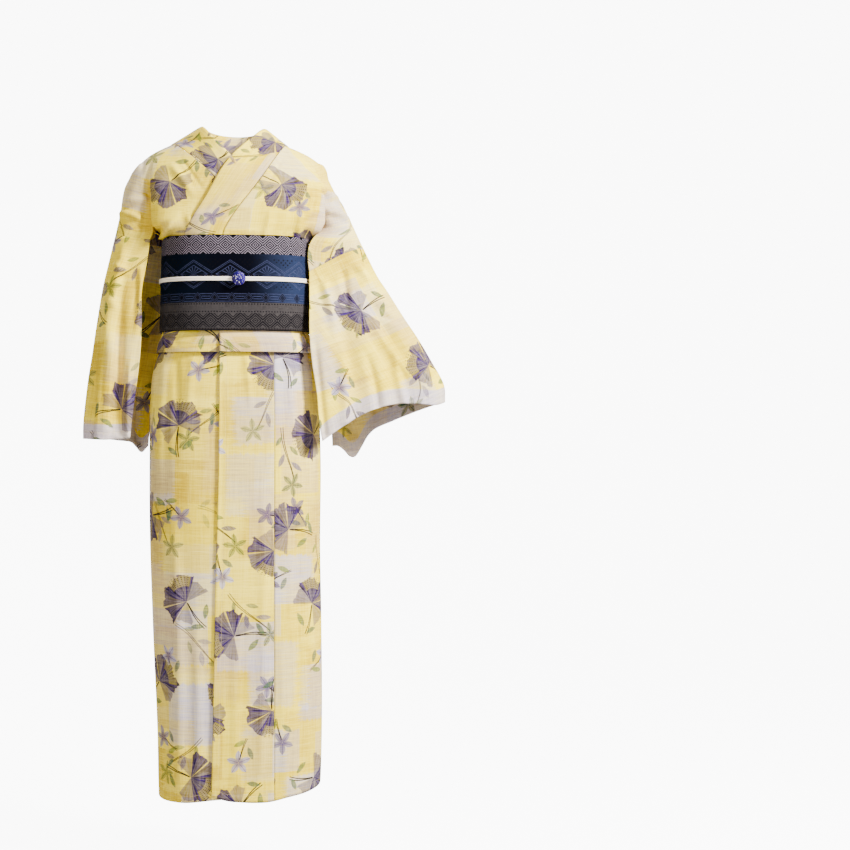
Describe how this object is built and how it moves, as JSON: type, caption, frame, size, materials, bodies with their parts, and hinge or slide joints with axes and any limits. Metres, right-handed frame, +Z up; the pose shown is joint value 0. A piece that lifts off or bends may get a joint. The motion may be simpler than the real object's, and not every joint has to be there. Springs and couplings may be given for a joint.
{
  "type": "cotton yukata robe in its worn form with its own belt, belt cord and bead",
  "caption": "Hollow worn form of a woman's cotton yukata: crossed collar, hanging sleeves, wrapped skirt, waist tuck, flat belt with cord and bead.",
  "frame": {"origin": "level with the points where the collar seams cross the wearer's shoulders, midway between them, on the middle plane of the figure", "axes": "+Z up, +X to the wearer's left, -Y to the front"},
  "size_m": [0.6826, 0.2482, 1.2667],
  "materials": {
    "cotton": "plain slub-woven cotton, soft, slightly sheer",
    "belt_weave": "firm patterned weave, low sheen",
    "ivory_braid": "flat silky braid",
    "violet_glass": "deep violet, speckled"
  },
  "bodies": {
    "root": {"body_panel_left": "cotton", "body_panel_right": "cotton", "sleeve_left": "cotton", "sleeve_right": "cotton", "collar": "cotton", "skirt_back_left": "cotton", "skirt_back_right": "cotton", "skirt_front_left": "cotton", "skirt_front_right": "cotton", "overlap_left": "cotton", "overlap_right": "cotton", "belt": "belt_weave", "belt_knot_card": "belt_weave", "belt_knot_band": "belt_weave", "belt_cord": "ivory_braid", "bead": "violet_glass"}
  },
  "joints": []
}
